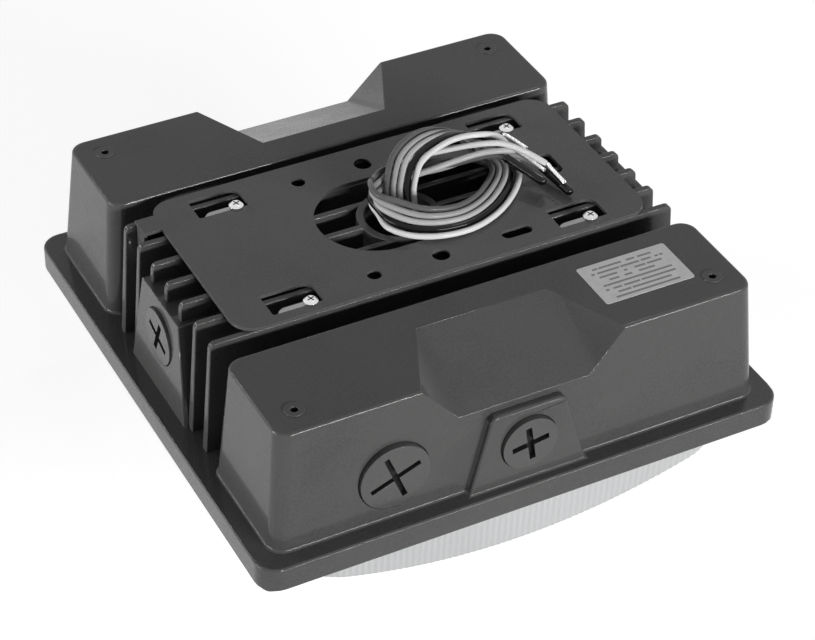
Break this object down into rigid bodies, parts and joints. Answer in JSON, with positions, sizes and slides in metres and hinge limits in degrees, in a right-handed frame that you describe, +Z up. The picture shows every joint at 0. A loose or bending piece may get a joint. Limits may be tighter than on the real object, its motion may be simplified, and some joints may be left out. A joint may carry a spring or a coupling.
{
  "type": "led canopy light",
  "caption": "Square finned LED canopy light with a drop lens, a slide-lock ceiling plate, plugged conduit entries and supply leads.",
  "frame": {"origin": "on the mounting plate's top face, above the middle of the square flange, with the plate locked", "axes": "+Z up to the ceiling, +X along the two driver blocks, +Y from the front block to the rear block"},
  "size_m": [0.254, 0.254, 0.1411],
  "materials": {
    "cast_housing": "satin textured powder coat on an aluminium casting",
    "plug_painted": "satin textured powder coat",
    "plate_steel": "satin powder coat on sheet steel",
    "zinc_screws": "bright zinc plating",
    "seal_rubber": "soft matte rubber",
    "lens_plastic": "frosted, fluted polycarbonate",
    "board_white": "white solder mask",
    "thermal_pad": "soft matte",
    "phosphor": "yellow phosphor",
    "reflector_white": "white gloss paint on sheet",
    "driver_case": "brushed case",
    "potted_black": "potted plastic case",
    "lead_dark": "smooth insulation",
    "lead_white": "smooth insulation",
    "lead_light": "smooth insulation",
    "lead_mid": "smooth insulation",
    "lead_pale": "smooth insulation",
    "bare_copper": "bright twisted strands",
    "cap_black": "glossy",
    "label_grey": "satin label"
  },
  "bodies": {
    "bracket": {"mounting_plate": "plate_steel"},
    "fixture": {"housing": "cast_housing", "plate_screws": "zinc_screws", "lock_screw": "zinc_screws", "wire_seal": "seal_rubber", "lens": "lens_plastic", "lens_gasket": "seal_rubber", "lens_screws": "zinc_screws", "left_board": "board_white", "right_board": "board_white", "left_thermal_pad": "thermal_pad", "right_thermal_pad": "thermal_pad", "light_packages": "phosphor", "board_screws": "zinc_screws", "reflector": "reflector_white", "reflector_screws": "zinc_screws", "driver": "driver_case", "driver_screws": "zinc_screws", "surge_protector": "potted_black", "surge_screws": "zinc_screws", "wiring_label": "label_grey", "line_lead": "lead_dark", "neutral_lead": "lead_white", "ground_lead": "lead_light", "dim_plus_lead": "lead_mid", "dim_minus_lead": "lead_pale", "lead_strands": "bare_copper", "lead_caps": "cap_black"},
    "front_large_ring": {"front_large_ring": "seal_rubber"},
    "front_large_plug": {"front_large_plug": "plug_painted"},
    "front_small_ring": {"front_small_ring": "seal_rubber"},
    "front_small_plug": {"front_small_plug": "plug_painted"},
    "rear_small_ring": {"rear_small_ring": "seal_rubber"},
    "rear_small_plug": {"rear_small_plug": "plug_painted"},
    "left_ring": {"left_ring": "seal_rubber"},
    "left_plug": {"left_plug": "plug_painted"},
    "right_ring": {"right_ring": "seal_rubber"},
    "right_plug": {"right_plug": "plug_painted"}
  },
  "joints": [
    {"name": "lock_slide", "type": "slide", "parent": "bracket", "child": "fixture", "axis": [0, 1, 0], "range_m": [0, 0.0027]},
    {"name": "front_large_unscrew", "type": "slide", "parent": "fixture", "child": "front_large_ring", "axis": [0, -1, 0], "range_m": [0, 0.009]},
    {"name": "front_large_turn", "type": "hinge", "parent": "front_large_ring", "child": "front_large_plug", "pos_m": [-0.062, -0.1178, -0.0386], "axis": [0, -1, 0], "range_deg": [0, 1800]},
    {"name": "front_small_unscrew", "type": "slide", "parent": "fixture", "child": "front_small_ring", "axis": [0, -1, 0], "range_m": [0, 0.009]},
    {"name": "front_small_turn", "type": "hinge", "parent": "front_small_ring", "child": "front_small_plug", "pos_m": [0, -0.122, -0.0404], "axis": [0, -1, 0], "range_deg": [0, 1800]},
    {"name": "rear_small_unscrew", "type": "slide", "parent": "fixture", "child": "rear_small_ring", "axis": [0, 1, 0], "range_m": [0, 0.009]},
    {"name": "rear_small_turn", "type": "hinge", "parent": "rear_small_ring", "child": "rear_small_plug", "pos_m": [0, 0.122, -0.0404], "axis": [0, 1, 0], "range_deg": [0, 1800]},
    {"name": "left_unscrew", "type": "slide", "parent": "fixture", "child": "left_ring", "axis": [-1, 0, 0], "range_m": [0, 0.009]},
    {"name": "left_turn", "type": "hinge", "parent": "left_ring", "child": "left_plug", "pos_m": [-0.1184, 0, -0.0296], "axis": [-1, 0, 0], "range_deg": [0, 1800]},
    {"name": "right_unscrew", "type": "slide", "parent": "fixture", "child": "right_ring", "axis": [1, 0, 0], "range_m": [0, 0.009]},
    {"name": "right_turn", "type": "hinge", "parent": "right_ring", "child": "right_plug", "pos_m": [0.1184, 0, -0.0296], "axis": [1, 0, 0], "range_deg": [0, 1800]}
  ],
  "couplings": [
    {"joint": "front_large_turn", "follows": "front_large_unscrew", "rad_per_m": 3490.7},
    {"joint": "front_small_turn", "follows": "front_small_unscrew", "rad_per_m": 3490.7},
    {"joint": "rear_small_turn", "follows": "rear_small_unscrew", "rad_per_m": 3490.7},
    {"joint": "left_turn", "follows": "left_unscrew", "rad_per_m": 3490.7},
    {"joint": "right_turn", "follows": "right_unscrew", "rad_per_m": 3490.7}
  ]
}
